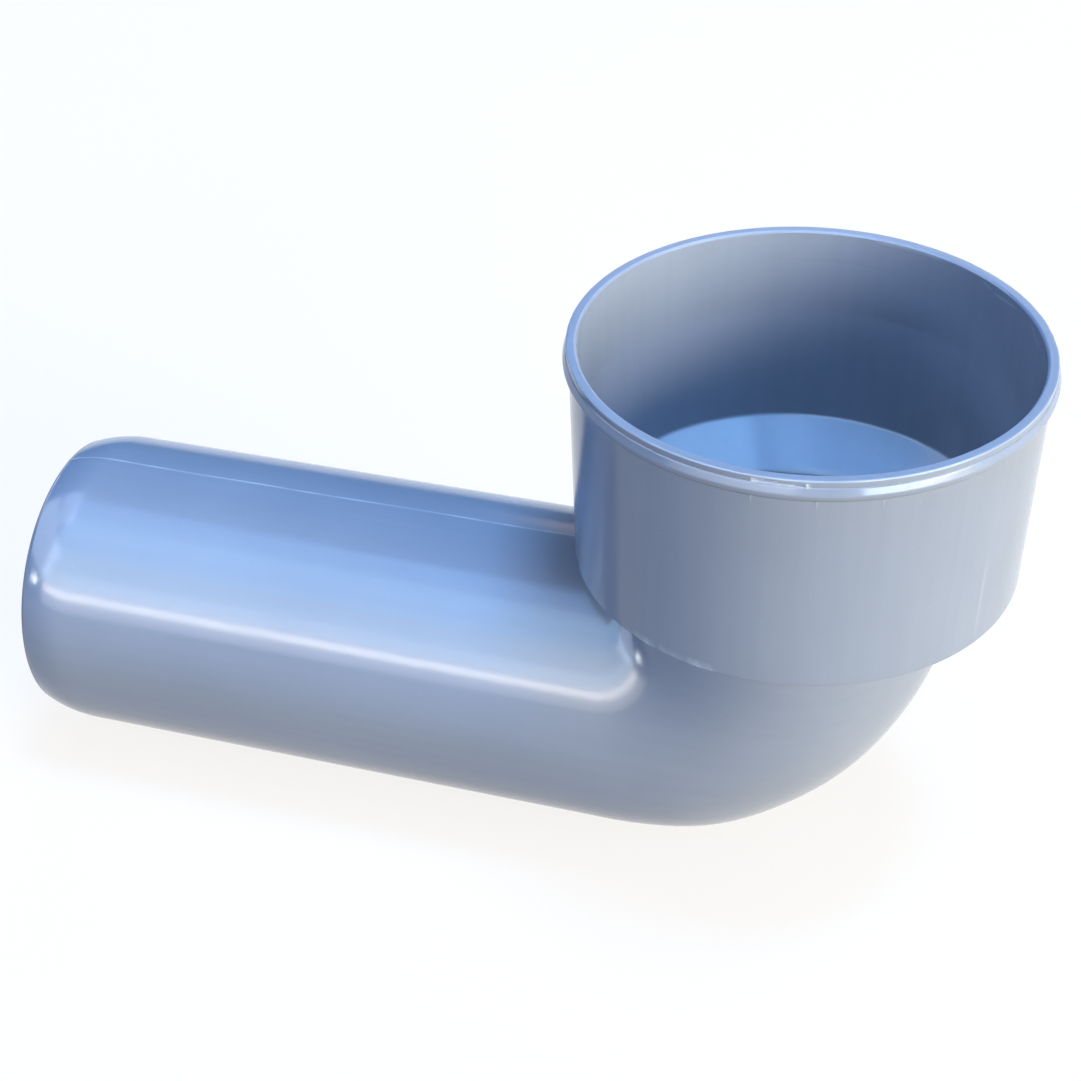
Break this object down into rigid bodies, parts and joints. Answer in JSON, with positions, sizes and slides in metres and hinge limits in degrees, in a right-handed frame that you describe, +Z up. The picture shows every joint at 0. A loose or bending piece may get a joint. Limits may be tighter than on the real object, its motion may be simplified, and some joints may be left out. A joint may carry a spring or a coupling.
{
  "type": "curved pan connector",
  "caption": "Moulded plastic waste bend with an upward cup socket for a toilet pan outlet, a tight right-angle elbow and a long plain spigot for a soil pipe.",
  "frame": {"origin": "centre of the cup socket's mouth, in the plane of its rim", "axes": "+Z up and out of the socket, along its axis; -X along the spigot towards its open end; the XZ plane is the part's mirror plane"},
  "size_m": [0.3218, 0.1428, 0.184],
  "materials": {
    "grey_plastic": "smooth grey moulded PVC with a soft gloss"
  },
  "bodies": {
    "root": {"pan_connector": "grey_plastic"}
  },
  "joints": []
}
